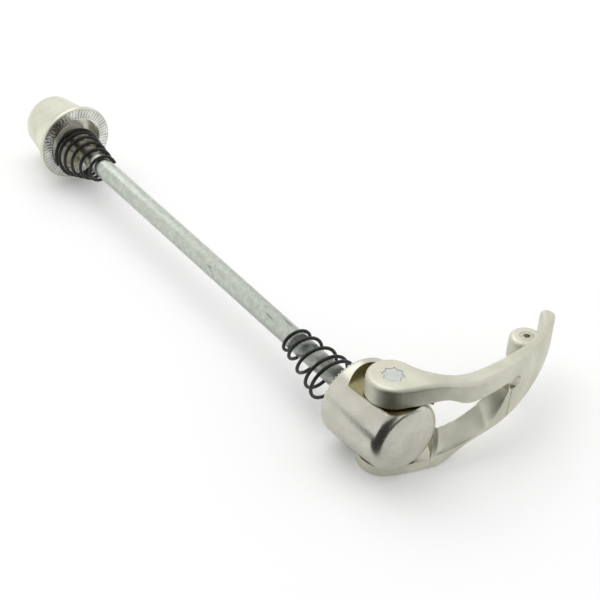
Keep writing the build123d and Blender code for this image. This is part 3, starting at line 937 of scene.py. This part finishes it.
@dataclass
class Nut:
    """The finger nut with its toothed ring and the ring that keeps it from working loose."""

    body: Metal = NUT_FINISH
    clamp_ring: Metal = RING_FINISH
    friction_ring: Metal = NYLON_FINISH

    def dress(self) -> None:
        """Gives each piece its finish."""
        apply_finish("nut_body", self.body)
        apply_finish("nut_clamp_ring", self.clamp_ring)
        apply_finish("nut_friction_ring", self.friction_ring)


@dataclass
class Studio:
    """Pale floor, soft overhead light, bright surroundings and the camera at the photograph's angle."""

    azimuth: float = 50.9
    elevation: float = 35.12
    roll: float = 5.82
    lens_mm: float = 114.24
    sensor_mm: float = 36.0
    nearest_mm: float = 10.0
    distance_mm: float = 453.3
    sideways_mm: float = 23.08
    lift_mm: float = -7.17
    aim_mm: float = -58.5
    floor_mm: float = 3000.0
    paper_tone: float = 0.9
    paper_glow: float = 0.1
    ambient: float = 0.83
    card_tone: str = "#3A3A38"
    card_start_mm: float = 27.0
    card_reach_mm: float = 450.0
    card_half_mm: float = 420.0
    card_foot_mm: float = 1.0
    card_rise_mm: float = 560.0
    ceiling_tone: float = 0.72
    ceiling_rise: tuple[float, float] = (0.45, 0.95)
    lamp_heading: tuple[float, float] = (-150.0, 62.0)
    lamp_size_m: float = 0.7
    lamp_distance_m: float = 0.75
    lamp_watts: float = 1.7

    def heading(self, turn: float, tip: float) -> Vector:
        """A direction from the object, by its turn from the camera's side and its height, in degrees."""
        around, rise = math.radians(self.azimuth + turn), math.radians(tip)
        return Vector((math.sin(around) * math.cos(rise), -math.cos(around) * math.cos(rise), math.sin(rise)))

    def rest_height(self, along_m: float) -> float:
        """Works out the floor's height from the low points of the lower arm and the nut.

        Args:
            along_m: A place along the rod, in metres.

        Returns:
            The floor's height under it, in metres.
        """
        arm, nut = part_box("lower_arm"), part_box("nut_body")
        middle = (arm[0].x + arm[1].x) / 2
        slope = (nut[0].z - arm[0].z) / (nut[1].x - middle)
        return arm[0].z + slope * (along_m - middle)

    def looking_rays(self, tree: bpy.types.NodeTree) -> bpy.types.NodeSocket:
        """Tells the rays that show the background from those that only carry its light.

        Args:
            tree: The material's or the world's tree.

        Returns:
            A socket that is 1 for the camera's rays and for those mirrored by metal or passing through glass.
        """
        ray = add_node(tree, "ShaderNodeLightPath")
        shiny = add_node(tree, "ShaderNodeMath", {"operation": "MAXIMUM"},
                         {0: ray.outputs["Is Glossy Ray"], 1: ray.outputs["Is Transmission Ray"]})
        seen = add_node(tree, "ShaderNodeMath", {"operation": "MAXIMUM"},
                        {0: ray.outputs["Is Camera Ray"], 1: shiny.outputs[0]})
        return seen.outputs[0]

    def floor(self) -> None:
        """Lays a pale floor that the lower arm and the nut's flange rest on."""
        half = self.floor_mm * MM / 2
        corners = [(x, y, self.rest_height(x)) for x, y in
                   ((-half, -half), (half, -half), (half, half), (-half, half))]
        mesh = bpy.data.meshes.new("floor")
        mesh.from_pydata(corners, [], [(0, 1, 2, 3)])
        material = new_material("pale_paper_floor")
        tree = material.node_tree
        paper = add_node(tree, "ShaderNodeBsdfDiffuse", None, {"Color": (*[self.paper_tone] * 3, 1.0)})
        share = add_node(tree, "ShaderNodeMath", {"operation": "MULTIPLY"},
                         {0: self.looking_rays(tree), 1: self.paper_glow})
        glow = add_node(tree, "ShaderNodeEmission", None, {"Color": WHITE, "Strength": share.outputs[0]})
        white = add_node(tree, "ShaderNodeAddShader", None, {0: paper.outputs[0], 1: glow.outputs[0]})
        add_node(tree, "ShaderNodeOutputMaterial", None, {"Surface": white.outputs[0]})
        mesh.materials.append(material)
        new_piece("floor", mesh)

    def card(self) -> None:
        """Sets a dark card before the skewer, for the metal alone to mirror, so that its sides darken."""
        ahead, aside = self.heading(0, 0), self.heading(90, 0)
        corners = []
        for reach, rise in ((self.card_start_mm, self.card_foot_mm), (self.card_reach_mm, self.card_foot_mm),
                            (self.card_reach_mm, self.card_rise_mm)):
            for side in (-self.card_half_mm, self.card_half_mm):
                place = (ahead * reach + aside * side) * MM
                corners.append((place.x, place.y, self.rest_height(place.x) + rise * MM))
        mesh = bpy.data.meshes.new("dark_card")
        mesh.from_pydata(corners, [], [(0, 1, 3, 2), (2, 3, 5, 4)])
        material = new_material("dark_card")
        tree = material.node_tree
        felt = add_node(tree, "ShaderNodeBsdfDiffuse", None, {"Color": linear(self.card_tone)})
        add_node(tree, "ShaderNodeOutputMaterial", None, {"Surface": felt.outputs[0]})
        mesh.materials.append(material)
        card = new_piece("dark_card", mesh)
        card.visible_camera = False
        card.visible_diffuse = False
        card.visible_transmission = False
        card.visible_shadow = False

    def surroundings(self) -> None:
        """Surrounds the set with soft light, white where the camera, metal or glass looks out at it."""
        world = bpy.data.worlds.new("studio")
        world.use_nodes = True
        tree = world.node_tree
        tree.nodes.clear()
        look = add_node(tree, "ShaderNodeTexCoord").outputs["Generated"]
        rise = add_node(tree, "ShaderNodeSeparateXYZ", None, {"Vector": look}).outputs["Z"]
        ceiling = add_node(tree, "ShaderNodeMapRange", {"interpolation_type": "SMOOTHSTEP"},
                           {"Value": rise, "From Min": self.ceiling_rise[0], "From Max": self.ceiling_rise[1],
                            "To Min": 1.0, "To Max": self.ceiling_tone})
        level = add_node(tree, "ShaderNodeMix", {"data_type": "FLOAT"},
                         {0: self.looking_rays(tree), 2: self.ambient, 3: ceiling.outputs[0]})
        sky = add_node(tree, "ShaderNodeBackground", None, {"Color": WHITE, "Strength": level.outputs[0]})
        add_node(tree, "ShaderNodeOutputWorld", None, {"Surface": sky.outputs[0]})
        bpy.context.scene.world = world

    def lamp(self) -> None:
        """Hangs one large soft lamp above the skewer, beyond the nut."""
        light = bpy.data.lights.new("overhead_softbox", "AREA")
        light.shape = "SQUARE"
        light.size = self.lamp_size_m
        light.energy = self.lamp_watts
        away = self.heading(*self.lamp_heading) * self.lamp_distance_m
        lamp = new_piece("overhead_softbox", light)
        lamp.location = Vector((self.aim_mm * MM, 0, 0)) + away
        lamp.rotation_euler = away.to_track_quat("Z", "Y").to_euler()

    def camera(self) -> None:
        """Places the camera."""
        roll = math.radians(self.roll)
        back, right = self.heading(0, self.elevation), self.heading(90, 0)
        up = back.cross(right)
        aim = Vector((self.aim_mm, 0, 0))
        place = aim + back * self.distance_mm + right * self.sideways_mm + up * self.lift_mm
        axes = (right * math.cos(roll) + up * math.sin(roll),
                up * math.cos(roll) - right * math.sin(roll), back)
        lens = bpy.data.cameras.new("camera")
        lens.lens = self.lens_mm
        lens.sensor_width = self.sensor_mm
        lens.clip_start = self.nearest_mm * MM
        camera = new_piece("camera", lens)
        camera.matrix_world = Matrix.Translation(place * MM) @ Matrix(axes).transposed().to_4x4()
        bpy.context.scene.camera = camera

    def build(self) -> None:
        """Sets up floor, card, surroundings, lamp and camera."""
        self.floor()
        self.card()
        self.surroundings()
        self.lamp()
        self.camera()
        bpy.context.scene.view_settings.view_transform = "Standard"


def main() -> None:
    """Dresses every piece and sets the studio around them."""
    logging.basicConfig(level=logging.INFO, format="%(name)s %(message)s")
    CamEnd().dress()
    Lever().dress()
    Nut().dress()
    coil = coiled_wire_tree()
    for spring in (LEVER_SPRING, NUT_SPRING):
        spring.build(coil, SPRING_FINISH.material())
    Rod().build(rolled_thread_tree(), ROD_FINISH.material())
    Studio().build()


if __name__ == "__main__":
    main()
